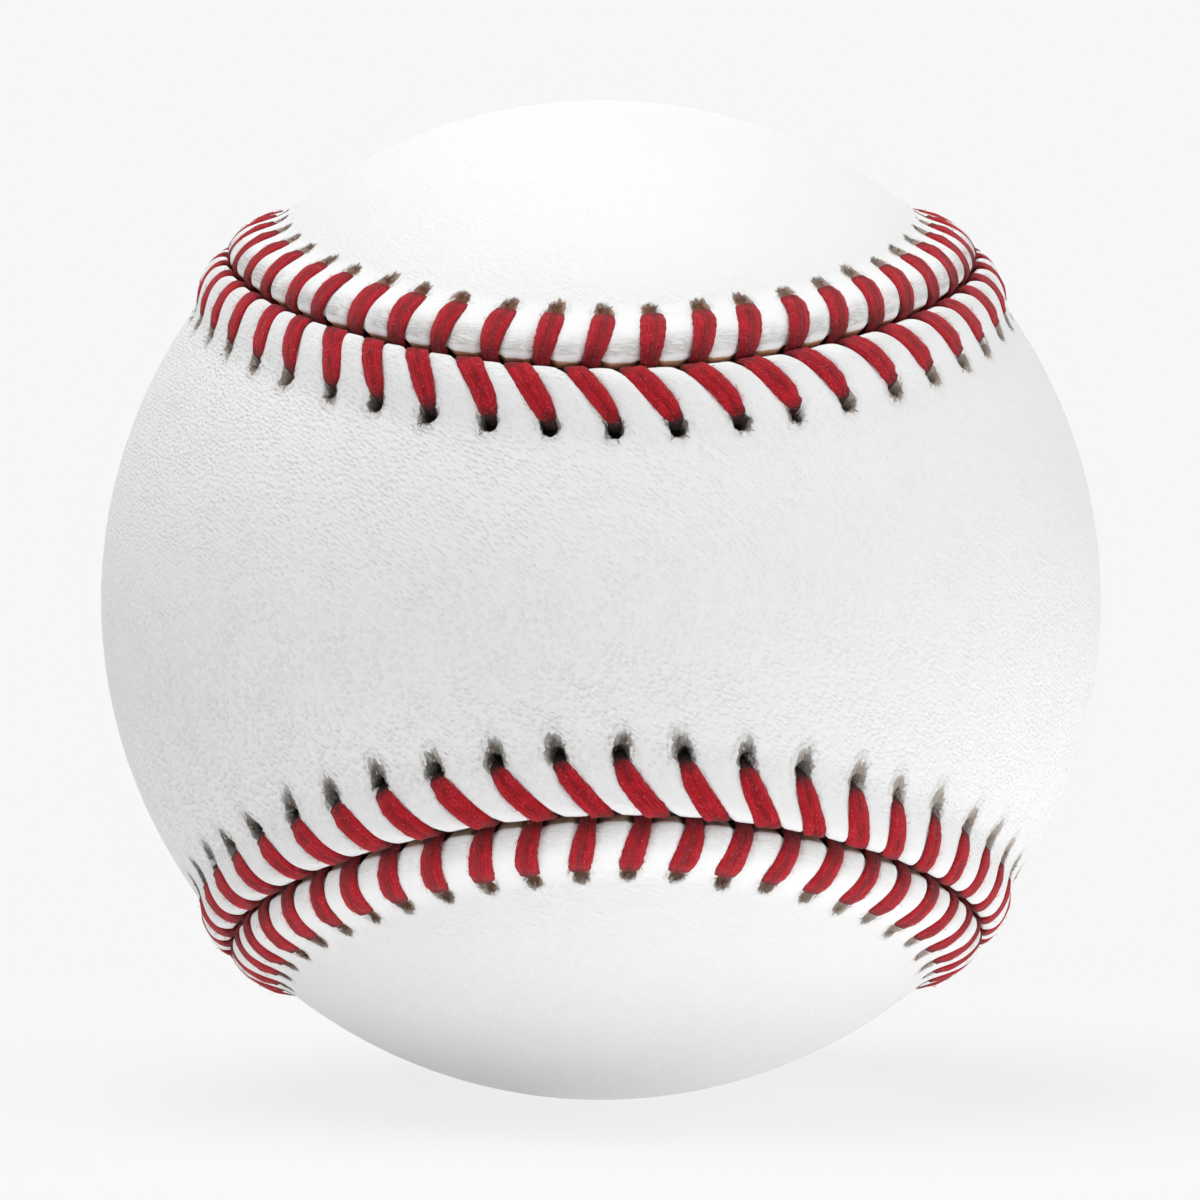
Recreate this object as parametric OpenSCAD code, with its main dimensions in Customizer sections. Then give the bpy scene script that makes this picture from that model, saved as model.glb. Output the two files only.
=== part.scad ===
// Baseball: a cork and rubber pill wound with yarn, under a cover of two
// figure-eight leather panels joined by one seam of double stitches.
// Millimetres. The origin is the ball's centre, +Z is up, and the waist of
// the front panel faces -Y, with its two lobes wrapping round +X and -X.

/* [Ball] */
// Diameter over the bare leather
ball_d = 73.5; // [70:0.5:80]

/* [Pill] */
// Diameter of the composition cork ball
cork_d = 20.6; // [16:0.2:24]
// Wall of the two black rubber cups
cup_t = 4; // [2:0.1:5]
// Thickness of the ring washer between the cups' rims
washer_t = 0.8; // [0.4:0.1:1.6]
// Wall of the moulded red rubber cover
red_t = 2.4; // [1:0.1:4]

/* [Windings, from the outside in] */
// Fine white finishing yarn
finishing_t = 0.5; // [0.3:0.1:1]
// Three-ply grey wool
third_t = 2.25; // [1:0.05:3]
// Three-ply white wool
second_t = 1.75; // [1:0.05:3]
// Adhesive on the wound core
coat_t = 0.15; // [0.1:0.01:0.3]

/* [Leather cover] */
// Thickness of the leather
leather_t = 1.25; // [1:0.05:1.6]
// Gap between the edges of the two panels
seam_gap = 0.6; // [0.4:0.05:1]
// Width of the raised bead beside the gap
bead_w = 3.9; // [3.4:0.1:4.4]
// Height of the bead's crest between two stitches
bead_h = 1.25; // [0.8:0.05:1.6]
// How far each stitch pinches the crest down
pinch_h = 0.25; // [0:0.05:0.4]

/* [Stitches] */
// Double stitches round the whole seam
stitches = 108; // [100:4:112]
// Width of the flattened waxed thread
thread_w = 1.3; // [1:0.05:1.5]
// Thickness of the thread
thread_t = 0.5; // [0.3:0.05:0.7]
// How far a front arm leans along the seam between its hole and the gap, on average
front_lean = 1.6; // [1:0.1:2.4]
// The same for a back arm
back_lean = 0.7; // [0:0.1:1.4]
// How far the lean drifts to and fro twice round the seam, front and back
front_drift = 1.3; // [0:0.1:1.6]
back_drift = 2.6; // [0:0.1:3]
// Length of a needle hole, across the seam
hole_l = 1.1; // [0.8:0.1:1.4]
// Width of a needle hole, along the seam
hole_w = 0.9; // [0.6:0.1:1.2]

/* [Hidden] */

// Shape of the seam on a unit ball: how far its waists stand apart, and two
// small corrections that flatten the waists and square the lobes
waist_share = 0.3892;
fifth_share = -0.0249;
sixth_share = -0.0394;

// Shape of the bead: places across its width, and heights against its crest
bead_place_shares = [0, 0.26, 0.6, 1];
bead_height_shares = [0.5, 1, 0.86, 0.1];

// Where the middle of one lobe tip of each panel lies on the whole seam
front_tip_share = 7 / 8;
back_tip_share = 1 / 8;
// Places of the first needle holes past those tips, as shares of one stitch
front_hole_share = 0.03;
back_hole_share = 0.22;
// Width of a thread's flattened top, and how deep its ends dive into the leather
top_w_share = 0.6;
gap_dive_share = 0.5;
hole_dive_share = 0.85;

layer_fit = 0.02;
thread_fit = 0.05;
hole_overrun = 1.9;
lean_power = 1.4;
front_ripple = 0.6;

ROUND = 200;
PILL_ROUND = 128;
SEAM_SAMPLES = 720;
HEADING_STEP = 0.05;
ROW_CELLS = 8;

ball_r = ball_d / 2;
cork_r = cork_d / 2;
cup_in_r = cork_r + layer_fit;
cup_out_r = cup_in_r + cup_t;
red_in_r = cup_out_r + layer_fit;
red_out_r = red_in_r + red_t;
cover_in_r = ball_r - leather_t;
coat_out_r = cover_in_r - layer_fit;
coat_in_r = coat_out_r - coat_t;
finishing_out_r = coat_in_r - layer_fit;
finishing_in_r = finishing_out_r - finishing_t;
third_out_r = finishing_in_r - layer_fit;
third_in_r = third_out_r - third_t;
second_out_r = third_in_r - layer_fit;
second_in_r = second_out_r - second_t;
first_out_r = second_in_r - layer_fit;
first_in_r = red_out_r + layer_fit;

// The seam, as directions from the ball's centre
function unit(v) = v / norm(v);
function seam_dir(t) =
    let (a = (1 + waist_share) / 2, b = (1 - waist_share) / 2)
    let (x = a * cos(t) + b * cos(3 * t) + fifth_share * cos(5 * t))
    let (y = a * sin(t) - b * sin(3 * t) + fifth_share * sin(5 * t))
    let (z = 2 * sqrt(a * b) * sin(2 * t) + sixth_share * sin(6 * t))
    unit([(x - y) / sqrt(2), -z, (x + y) / sqrt(2)]);
function seam_heading(t) = unit(seam_dir(t + HEADING_STEP) - seam_dir(t - HEADING_STEP));

// Length along the seam against its angle, so that stitches are evenly spaced
seam_dirs = [for (i = [0:SEAM_SAMPLES]) seam_dir(i * 360 / SEAM_SAMPLES)];
seam_table = [for (i = 0, s = 0; i <= SEAM_SAMPLES;
                   s = s + (i < SEAM_SAMPLES ? ball_r * norm(seam_dirs[i + 1] - seam_dirs[i]) : 0), i = i + 1)
              [s, i * 360 / SEAM_SAMPLES]];
seam_l = seam_table[SEAM_SAMPLES][0];
pitch = seam_l / stitches;
function seam_angle(s) = lookup(s - seam_l * floor(s / seam_l), seam_table);

// A point beside the seam: s along it, w across it towards side 1 (the
// front panel) or side -1 (the back panel), h above the bare leather
function beside_seam(side, s, w, h) =
    let (t = seam_angle(s), p = seam_dir(t), n = side * cross(p, seam_heading(t)), a = w / ball_r * 180 / PI)
    (ball_r + h) * (cos(a) * p + sin(a) * n);

// Values of one side: its stitches are counted from the panel's lobe tip
function lobe_tip(side) = seam_l * (side > 0 ? front_tip_share : back_tip_share);
function lean(side, i) =
    let (turn = 2 * 360 * i / stitches)
    side > 0 ? front_lean + front_drift * sin(turn) + front_ripple * cos(2 * turn) : back_lean - back_drift * sin(turn);
function hole_share(side) = side > 0 ? front_hole_share : back_hole_share;
function hole_s(side, i) = lobe_tip(side) + (i + hole_share(side)) * pitch;

// Places across one panel: the bead's rings, then the needle hole
bead_rings = [for (share = bead_place_shares) seam_gap / 2 + share * bead_w];
hole_near = seam_gap / 2 + bead_w;
hole_mid = hole_near + hole_l / 2;
hole_far = hole_near + hole_l;
// An arm leaves its hole square to the seam and leans more and more towards the gap
function leant_s(side, i, w) = hole_s(side, i) + lean(side, i) * pow(max(0, 1 - w / hole_near), lean_power);

// Height of the leather on ring k at a distance d along the seam from a stitch
function pinched(k) = bead_height_shares[k] * (bead_h - pinch_h);
function puffed(k) = bead_height_shares[k] * bead_h;
function leather_h(k, d) = pinched(k) + (puffed(k) - pinched(k)) * min(1, abs(d) / (pitch / 2));

// Winds a list of faces the other way on the back panel
function flipped(side, faces) =
    side > 0 ? faces : [for (f = faces) [f[0], f[2], f[1]]];

// The outer skin of one panel, closed down to the ball's centre. Each stitch
// has a pinched column and a puffed one, and a pit where its needle hole is.
module panel_skin(side) {
    n = stitches;
    cols = 2 * n;
    rings = len(bead_rings);
    beads = [for (k = [0:rings - 1], c = [0:cols - 1])
             beside_seam(side, leant_s(side, c / 2, bead_rings[k]), bead_rings[k],
                         c % 2 == 0 ? pinched(k) : puffed(k))];
    pits = [for (i = [0:n - 1])
            each [beside_seam(side, leant_s(side, i, hole_mid) - hole_w / 2, hole_mid, 0),
                  beside_seam(side, leant_s(side, i, hole_mid) + hole_w / 2, hole_mid, 0),
                  beside_seam(side, leant_s(side, i, hole_mid), hole_mid, -leather_t - hole_overrun)]];
    far = [for (i = [0:n - 1]) beside_seam(side, leant_s(side, i, hole_far), hole_far, 0)];
    rows = [for (r = [1:n / 2 - 1], j = [1:ROW_CELLS - 1])
            ball_r * unit(far[r] + (far[n - r] - far[r]) * j / ROW_CELLS)];
    points = concat(beads, pits, far, rows, [[0, 0, 0]]);

    first_pit = rings * cols;
    first_far = first_pit + 3 * n;
    first_row = first_far + n;
    centre = first_row + len(rows);
    function at_bead(k, c) = k * cols + (c + cols) % cols;
    function at_pit(i, which) = first_pit + 3 * ((i + n) % n) + which;
    function at_far(i) = first_far + (i + n) % n;
    function at_row(r, j) =
        j == 0 ? at_far(r) : j == ROW_CELLS ? at_far(n - r) : first_row + (r - 1) * (ROW_CELLS - 1) + j - 1;

    edge_faces = [for (c = [0:cols - 1]) [at_bead(0, c), centre, at_bead(0, c + 1)]];
    bead_faces = [for (k = [0:rings - 2], c = [0:cols - 1])
                  each [[at_bead(k, c), at_bead(k, c + 1), at_bead(k + 1, c)],
                        [at_bead(k, c + 1), at_bead(k + 1, c + 1), at_bead(k + 1, c)]]];
    hole_faces = [for (i = [0:n - 1]) let (k = rings - 1, c = 2 * i)
                  each [[at_bead(k, c), at_pit(i, 1), at_pit(i, 2)],
                        [at_pit(i, 1), at_far(i), at_pit(i, 2)],
                        [at_far(i), at_pit(i, 0), at_pit(i, 2)],
                        [at_pit(i, 0), at_bead(k, c), at_pit(i, 2)],
                        [at_bead(k, c), at_bead(k, c + 1), at_pit(i, 1)],
                        [at_pit(i, 1), at_bead(k, c + 1), at_far(i)],
                        [at_far(i), at_bead(k, c + 1), at_far(i + 1)],
                        [at_bead(k, c + 1), at_pit(i + 1, 0), at_far(i + 1)],
                        [at_bead(k, c + 1), at_bead(k, c + 2), at_pit(i + 1, 0)]]];
    row_faces = [for (r = [1:n / 2 - 2], j = [0:ROW_CELLS - 1])
                 each [[at_row(r, j), at_row(r + 1, j), at_row(r, j + 1)],
                       [at_row(r + 1, j), at_row(r + 1, j + 1), at_row(r, j + 1)]]];
    tip_faces = [for (j = [0:ROW_CELLS - 1])
                 each [[at_far(0), at_row(1, j), at_row(1, j + 1)],
                       [at_far(n / 2), at_row(n / 2 - 1, j + 1), at_row(n / 2 - 1, j)]]];
    polyhedron(points, flipped(side, concat(edge_faces, bead_faces, hole_faces, row_faces, tip_faces)));
}

// The leather follows the wound core inside. The hollow's poles lie at the
// middles of the two waists, clear of every needle hole.
module cover_panel(side) {
    difference() {
        panel_skin(side);
        rotate([90, 0, 0]) sphere(r = cover_in_r, $fn = ROUND);
    }
}

// One arm of a stitch: out of the gap, over the bead and down its needle hole
module stitch_arm(side, i) {
    half_w = thread_w / 2 / cos(atan(lean(side, i) / hole_near));
    corners = [[-half_w, 0], [half_w, 0], [half_w * top_w_share, thread_t], [-half_w * top_w_share, thread_t]];
    rings = len(bead_rings);
    body = [for (k = [0:rings - 1], c = corners)
            beside_seam(side, leant_s(side, i, bead_rings[k]) + c[0], bead_rings[k],
                        leather_h(k, half_w) + thread_fit + c[1])];
    gap_end = beside_seam(side, leant_s(side, i, 0), 0, -gap_dive_share * leather_t);
    hole_end = beside_seam(side, leant_s(side, i, hole_mid), hole_mid, -hole_dive_share * leather_t);
    sides = len(corners);
    function at(k, c) = k * sides + c % sides;
    tube = [for (k = [0:rings - 2], c = [0:sides - 1])
            each [[at(k, c), at(k + 1, c), at(k, c + 1)],
                  [at(k, c + 1), at(k + 1, c), at(k + 1, c + 1)]]];
    ends = [for (c = [0:sides - 1])
            each [[at(0, c + 1), rings * sides, at(0, c)],
                  [at(rings - 1, c), rings * sides + 1, at(rings - 1, c + 1)]]];
    polyhedron(concat(body, [gap_end, hole_end]), flipped(side, concat(tube, ends)));
}

// One needle sews every other arm on each side
module needle_stitches(start) {
    color([0.68, 0.07, 0.11])
    for (i = [start:2:stitches - 1]) {
        stitch_arm(1, i);
        stitch_arm(-1, i);
    }
}

module shell(out_r, in_r, facets) {
    difference() {
        sphere(r = out_r, $fn = facets);
        sphere(r = in_r, $fn = facets);
    }
}

// A half of the pill's black shell, its flat rim resting on the washer
module rubber_cup(up) {
    rim = washer_t / 2 + layer_fit;
    color([0.1, 0.1, 0.1])
    intersection() {
        shell(cup_out_r, cup_in_r, PILL_ROUND);
        translate([0, 0, up * (rim + cup_out_r)]) cube(2 * cup_out_r, center = true);
    }
}

module cork_core() {
    color([0.72, 0.55, 0.36]) sphere(r = cork_r, $fn = PILL_ROUND);
}

module upper_rubber_cup() {
    rubber_cup(1);
}

module lower_rubber_cup() {
    rubber_cup(-1);
}

module cup_washer() {
    color([0.7, 0.16, 0.14])
    intersection() {
        shell(cup_out_r, cup_in_r, PILL_ROUND);
        cube([2 * cup_out_r, 2 * cup_out_r, washer_t], center = true);
    }
}

module red_rubber_cover() {
    color([0.66, 0.14, 0.12]) shell(red_out_r, red_in_r, PILL_ROUND);
}

module first_winding() {
    color([0.5, 0.5, 0.49]) shell(first_out_r, first_in_r, ROUND);
}

module second_winding() {
    color([0.88, 0.87, 0.83]) shell(second_out_r, second_in_r, ROUND);
}

module third_winding() {
    color([0.56, 0.56, 0.55]) shell(third_out_r, third_in_r, ROUND);
}

module finishing_winding() {
    color([0.93, 0.92, 0.89]) shell(finishing_out_r, finishing_in_r, ROUND);
}

module adhesive_coat() {
    color([0.86, 0.82, 0.7]) shell(coat_out_r, coat_in_r, ROUND);
}

module front_cover_panel() {
    color([0.95, 0.94, 0.92]) cover_panel(1);
}

module back_cover_panel() {
    color([0.93, 0.93, 0.91]) cover_panel(-1);
}

module first_needle_stitches() {
    needle_stitches(0);
}

module second_needle_stitches() {
    needle_stitches(1);
}

cork_core();
upper_rubber_cup();
lower_rubber_cup();
cup_washer();
red_rubber_cover();
first_winding();
second_winding();
third_winding();
finishing_winding();
adhesive_coat();
front_cover_panel();
back_cover_panel();
first_needle_stitches();
second_needle_stitches();
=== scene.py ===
import math

import bpy
import numpy as np
from mathutils import Euler, Matrix, Vector


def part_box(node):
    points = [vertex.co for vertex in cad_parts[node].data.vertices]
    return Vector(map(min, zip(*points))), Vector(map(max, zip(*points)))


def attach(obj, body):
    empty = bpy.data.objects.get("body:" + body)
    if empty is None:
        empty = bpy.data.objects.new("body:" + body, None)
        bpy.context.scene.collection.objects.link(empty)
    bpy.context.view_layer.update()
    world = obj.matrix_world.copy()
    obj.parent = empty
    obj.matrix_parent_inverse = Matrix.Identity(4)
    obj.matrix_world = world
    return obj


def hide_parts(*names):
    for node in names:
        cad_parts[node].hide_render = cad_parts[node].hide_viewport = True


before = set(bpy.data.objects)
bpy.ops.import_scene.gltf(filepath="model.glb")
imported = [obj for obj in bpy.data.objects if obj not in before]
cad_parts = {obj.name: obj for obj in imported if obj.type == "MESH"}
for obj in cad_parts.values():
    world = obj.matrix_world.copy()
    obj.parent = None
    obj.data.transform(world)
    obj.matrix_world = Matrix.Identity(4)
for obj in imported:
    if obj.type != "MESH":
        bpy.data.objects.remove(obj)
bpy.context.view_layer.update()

MM = 0.001


# Viewpoint: the photograph is taken level with the ball's middle, from eight
# ball radii away. The ball lies a degree or two off square to the camera.
ball_radius = -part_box("front_cover_panel")[0].y
photo_size = 1200
ball_radius_in_photo = 500
ball_centre_in_photo = (601, 600)
camera_reach = 8 * ball_radius
ball_turn = Euler([math.radians(angle) for angle in (-0.90, 1.80, 0.35)])
sensor_width = 36
focal_pixels = ball_radius_in_photo * math.sqrt((camera_reach / ball_radius) ** 2 - 1)


def seen_from_front(right, up, nearer):
    """A direction in the camera's terms, turned back to the row's axes."""
    v = ball_turn.to_matrix().transposed() @ Vector((right, up, nearer))
    return Vector((v.x, -v.z, v.y))


camera_data = bpy.data.cameras.new("photo_camera")
camera_data.sensor_width = sensor_width
camera_data.lens = focal_pixels * sensor_width / photo_size
camera_data.shift_x = (photo_size / 2 - ball_centre_in_photo[0]) / photo_size
camera_data.shift_y = (ball_centre_in_photo[1] - photo_size / 2) / photo_size
camera = bpy.data.objects.new("photo_camera", camera_data)
bpy.context.scene.collection.objects.link(camera)
camera_axes = [seen_from_front(*axis) for axis in ((1, 0, 0), (0, 1, 0), (0, 0, 1))]
camera_turn = Matrix(camera_axes).transposed().to_4x4()
camera.matrix_world = Matrix.Translation(seen_from_front(0, 0, camera_reach)) @ camera_turn
bpy.context.scene.camera = camera


# Cork ball: ground cork bound with rubber and moulded into the core of the
# pill. Its dark granules show in a tan binder.
class Field:
    """One output in a node tree. Sums and products of it become Math nodes in that tree."""

    def __init__(self, socket):
        self.socket = socket
        self.tree = socket.id_data

    def math(self, operation, *others):
        inputs = dict(enumerate((self, *others)))
        return out(add(self.tree, "ShaderNodeMath", inputs, operation=operation))

    def __add__(self, other):
        return self.math("ADD", other)

    def __sub__(self, other):
        return self.math("SUBTRACT", other)

    def __mul__(self, other):
        return self.math("MULTIPLY", other)

    def __truediv__(self, other):
        return self.math("DIVIDE", other)

    def __pow__(self, other):
        return self.math("POWER", other)

    def __rsub__(self, other):
        return (self * -1.0) + other

    def __rtruediv__(self, other):
        return (self ** -1.0) * other

    __radd__ = __add__
    __rmul__ = __mul__


def add(tree, kind, inputs=None, **settings):
    """Adds a node with these settings. Each input gets a constant or another node's output."""
    node = tree.nodes.new(kind)
    for name, value in settings.items():
        setattr(node, name, value)
    for name, value in (inputs or {}).items():
        if isinstance(value, Field):
            tree.links.new(value.socket, node.inputs[name])
        else:
            node.inputs[name].default_value = value
    return node


def out(node, name=0):
    """A node's output, by its name or number, as a field."""
    return Field(node.outputs[name])


def limit(value, low=0.0, high=1.0):
    """Keeps a field, or an array of numbers, between two values."""
    if isinstance(value, Field):
        return value.math("MAXIMUM", low).math("MINIMUM", high)
    return np.clip(value, low, high)


def ease(value):
    """A smooth step from 0 to 1, for a field or an array of numbers."""
    value = limit(value)
    return value * value * (3.0 - 2.0 * value)


def new_material(name, **inputs):
    """A material's tree and its Principled shader, with these constants on the shader."""
    material = bpy.data.materials.new(name)
    material.use_nodes = True
    shader = material.node_tree.nodes["Principled BSDF"]
    for label, value in inputs.items():
        shader.inputs[label.replace("_", " ")].default_value = value
    return material, material.node_tree, shader


def noise(place, scale, detail=2.0, roughness=0.5):
    """Smooth noise from 0 to 1. On a place in metres, the scale counts its lumps per metre."""
    tree = place.tree
    inputs = {"Vector": place, "Scale": scale, "Detail": detail, "Roughness": roughness}
    return out(add(tree, "ShaderNodeTexNoise", inputs))


def mix_colours(share, first, second):
    """The first colour where the share is 0 and the second where it is 1."""
    node = add(share.tree, "ShaderNodeMix", {0: share, 6: first, 7: second}, data_type="RGBA")
    return out(node, 2)


def join(field, socket):
    field.tree.links.new(field.socket, socket)


def bump(height, distance, strength=1.0, before=None):
    """A normal map from a height field, on top of an earlier one if there is one."""
    inputs = {"Height": height, "Distance": distance, "Strength": strength}
    if before is not None:
        inputs["Normal"] = before
    return out(add(height.tree, "ShaderNodeBump", inputs))


def place_on_piece(tree):
    return out(add(tree, "ShaderNodeTexCoord"), "Object")


def dress(node, material):
    """Gives a CAD node this material and leaves its mesh alone."""
    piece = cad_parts[node]
    if not piece.material_slots:
        piece.data.materials.append(material)
    for slot in piece.material_slots:
        slot.material = material


cork_granule = 1.6 * MM
cork_tan = (0.52, 0.33, 0.17, 1)
cork_brown = (0.16, 0.08, 0.035, 1)
cork, tree, shader = new_material("ground_cork", Roughness=0.85)
inputs = {"Vector": place_on_piece(tree), "Scale": 1 / cork_granule}
granules = add(tree, "ShaderNodeTexVoronoi", inputs)
darkness = ease(noise(out(granules, "Position"), 900.0) * 2.4 - 0.9)
join(mix_colours(darkness, cork_tan, cork_brown), shader.inputs["Base Color"])
join(bump(out(granules, "Distance"), 0.2 * MM), shader.inputs["Normal"])
dress("cork_core", cork)


# Rubber of the pill: two moulded black cups round the cork, a thin washer of
# red cushion rubber between their rims, and a red cover moulded over them.
def moulded_rubber(name, colour, worn_colour):
    """Matt rubber with a fine moulded texture and a faint bloom."""
    rubber, tree, shader = new_material(name, Roughness=0.7)
    place = place_on_piece(tree)
    bloom = ease(noise(place, 180.0, 4.0) * 2.0 - 0.6)
    join(mix_colours(bloom, colour, worn_colour), shader.inputs["Base Color"])
    join(bump(noise(place, 2600.0, 3.0), 0.05 * MM), shader.inputs["Normal"])
    return rubber


black_rubber = moulded_rubber("black_cup_rubber", (0.012, 0.012, 0.012, 1), (0.03, 0.03, 0.03, 1))
red_rubber = moulded_rubber("red_cover_rubber", (0.33, 0.028, 0.02, 1), (0.42, 0.06, 0.045, 1))
dress("upper_rubber_cup", black_rubber)
dress("lower_rubber_cup", black_rubber)
dress("cup_washer", red_rubber)
dress("red_rubber_cover", red_rubber)


# Windings: hundreds of metres of yarn wound over the pill under tension, each
# turn crossing the last. Grey wool, white wool, grey wool, then fine white yarn.
def wound_yarn(name, strand, colour, shade_colour):
    """Yarn in crossing turns. Each of three layers of strands runs its own way."""
    yarn, tree, shader = new_material(name, Roughness=0.9, Sheen_Weight=0.4)
    place = place_on_piece(tree)
    height = None
    for turn, drift in (((0.3, 0.2, 0.9), 90.0), ((1.4, -0.5, 0.2), 70.0), ((-0.7, 1.1, 0.5), 110.0)):
        turned = out(add(tree, "ShaderNodeMapping", {"Vector": place, "Rotation": turn}))
        inputs = {"Vector": turned, "Scale": 0.32 / strand, "Distortion": 1.4, "Detail Scale": drift}
        strands = out(add(tree, "ShaderNodeTexWave", inputs), "Fac")
        laid = strands * ease(noise(turned, drift, 1.0) * 3.0 - 1.0)
        height = laid if height is None else height.math("MAXIMUM", laid)
    join(mix_colours(height, shade_colour, colour), shader.inputs["Base Color"])
    join(bump(height, strand / 2), shader.inputs["Normal"])
    return yarn


grey_wool = wound_yarn("grey_wool_yarn", 1.1 * MM, (0.30, 0.30, 0.29, 1), (0.09, 0.09, 0.085, 1))
white_wool = wound_yarn("white_wool_yarn", 0.9 * MM, (0.76, 0.74, 0.68, 1), (0.34, 0.32, 0.28, 1))
fine_yarn = wound_yarn("fine_white_yarn", 0.5 * MM, (0.82, 0.81, 0.77, 1), (0.42, 0.41, 0.38, 1))
dress("first_winding", grey_wool)
dress("second_winding", white_wool)
dress("third_winding", grey_wool)
dress("finishing_winding", fine_yarn)


# Adhesive: a thin coat of rubber cement on the wound core, which holds the
# leather. It dries amber, with brush marks and small bubbles.
adhesive, tree, shader = new_material("dried_rubber_cement", Roughness=0.45)
place = place_on_piece(tree)
brushed = noise(place, 320.0, 5.0)
join(mix_colours(brushed, (0.55, 0.42, 0.22, 1), (0.78, 0.70, 0.52, 1)), shader.inputs["Base Color"])
join(bump(brushed, 0.1 * MM), shader.inputs["Normal"])
dress("adhesive_coat", adhesive)


# Leather cover: two identical figure-eight panels of white alum-tanned hide,
# sewn edge to edge. Beside the gap the edge is puffed up into a bead, which
# every stitch ties down, and a needle hole ends each stitch.
stitch_count = 108
leather_thickness = 1.25 * MM
waist_share = 0.3892
fifth_share = -0.0249
sixth_share = -0.0394
rim_gap = 0.2 * MM
bead_crest = 1.35 * MM
bead_rise = 1.32 * MM
front_rim_squareness = 2.1
back_rim_squareness = 2.4
bead_fall = 3.9 * MM
bead_height = 1.27 * MM
pinch_share = 0.36
hole_reach = 4.2 * MM
lean_power = 1.4
front_side = 1
back_side = -1

# The scatter of hand sewing comes from one fixed seed, for both panels in turn.
chance = np.random.default_rng(9)
hole_errors = 0.08 * MM * chance.standard_normal((2, stitch_count))
lean_errors = 0.10 * MM * chance.standard_normal((2, stitch_count))


def seam_direction(angle):
    """Where the seam lies on a unit ball. One formula in five terms gives the whole seam."""
    a = (1 + waist_share) / 2
    b = (1 - waist_share) / 2
    x = a * np.cos(angle) + b * np.cos(3 * angle) + fifth_share * np.cos(5 * angle)
    y = a * np.sin(angle) - b * np.sin(3 * angle) + fifth_share * np.sin(5 * angle)
    z = 2 * math.sqrt(a * b) * np.sin(2 * angle) + sixth_share * np.sin(6 * angle)
    return unit(np.stack([(x - y) / math.sqrt(2), -z, (x + y) / math.sqrt(2)], axis=-1))


def unit(v):
    return v / np.linalg.norm(v, axis=-1, keepdims=True)


seam_angles = np.linspace(0, 2 * math.pi, 20001)
seam_steps = np.linalg.norm(np.diff(seam_direction(seam_angles), axis=0), axis=1) * ball_radius
seam_lengths = np.concatenate([[0], np.cumsum(seam_steps)])
seam_length = seam_lengths[-1]
pitch = seam_length / stitch_count


def seam_frame(side, along):
    """Outward, forward and sideways directions at lengths along the seam. Sideways is into the panel."""
    angle = np.interp(np.mod(along, seam_length), seam_lengths, seam_angles)
    outward = seam_direction(angle)
    small_step = 1e-3
    forward = unit(seam_direction(angle + small_step) - seam_direction(angle - small_step))
    return outward, forward, side * np.cross(outward, forward)


def beside_seam(side, along, across, height):
    """Points beside the seam: along it, across it into the side's panel, and above the bare ball."""
    outward, _, sideways = seam_frame(side, along)
    angle = (across / ball_radius)[..., None]
    direction = np.cos(angle) * outward + np.sin(angle) * sideways
    return direction * (ball_radius + height)[..., None]


def sewing_error(errors, side, stitch):
    """How far a stitch, or the leather between two, strays from its place in even sewing."""
    row = errors[0 if side == front_side else 1]
    return np.interp(np.mod(stitch, stitch_count), np.arange(stitch_count + 1), np.append(row, row[0]))


def hole_along(side, stitch):
    """Where a needle hole lies along the seam. Stitches are counted from the tip of the panel's lobe."""
    tip, share = (7 / 8, 0.03) if side == front_side else (1 / 8, 0.22)
    return tip * seam_length + (stitch + share) * pitch + sewing_error(hole_errors, side, stitch)


def lean_at(side, stitch):
    """How far an arm leans along the seam between its hole and the gap. It drifts in slow waves."""
    turn = 4 * math.pi * stitch / stitch_count
    error = sewing_error(lean_errors, side, stitch)
    if side == front_side:
        pulled = 0.75 * limit(np.cos(turn - 3.3)) ** 8
        return (1.6 + 1.3 * np.sin(turn) + 0.6 * np.cos(2 * turn) + pulled) * MM + error
    return (0.7 - 2.6 * np.sin(turn)) * MM + error


def along_arm(side, stitch, across):
    """Where an arm, or the leather between two, lies along the seam at a distance from the gap."""
    share = np.clip(1 - across / hole_reach, 0, 1)
    return hole_along(side, stitch) + lean_at(side, stitch) * share ** lean_power


def puffed(from_arm):
    """0 under an arm and 1 midway between two, from the distance to the arm in half stitches."""
    return ease((from_arm - 0.25) / 0.45)


def height_of_bead(across, puff, squareness):
    """Height of the leather beside the gap: a steep rim, a crest, and a long slope down to the ball."""
    rise = limit((bead_crest - across) / bead_rise)
    fall = ease((across - bead_crest) / bead_fall)
    section = (1.0 - rise ** squareness) ** (1.0 / squareness) * (1.0 - fall)
    return section * (1.0 - pinch_share * (1.0 - puff)) * bead_height


def geometry_tree(name, **inputs):
    """A geometry tree with named inputs. Returns it and its inputs as fields."""
    tree = bpy.data.node_groups.new(name, "GeometryNodeTree")
    tree.is_modifier = True
    tree.interface.new_socket("Geometry", in_out="INPUT", socket_type="NodeSocketGeometry")
    tree.interface.new_socket("Geometry", in_out="OUTPUT", socket_type="NodeSocketGeometry")
    for label in inputs:
        kind = "NodeSocketInt" if isinstance(inputs[label], int) else "NodeSocketFloat"
        tree.interface.new_socket(label.replace("_", " "), in_out="INPUT", socket_type=kind)
    entry = tree.nodes.new("NodeGroupInput")
    return tree, {socket.name: Field(socket) for socket in entry.outputs if socket.name}


def close_tree(geometry, material):
    """Ends a tree in Realize Instances and Set Material."""
    real = add(geometry.tree, "GeometryNodeRealizeInstances", {"Geometry": geometry})
    inputs = {"Geometry": out(real), "Material": material}
    painted = add(geometry.tree, "GeometryNodeSetMaterial", inputs)
    join(out(painted), add(geometry.tree, "NodeGroupOutput").inputs[0])


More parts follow.
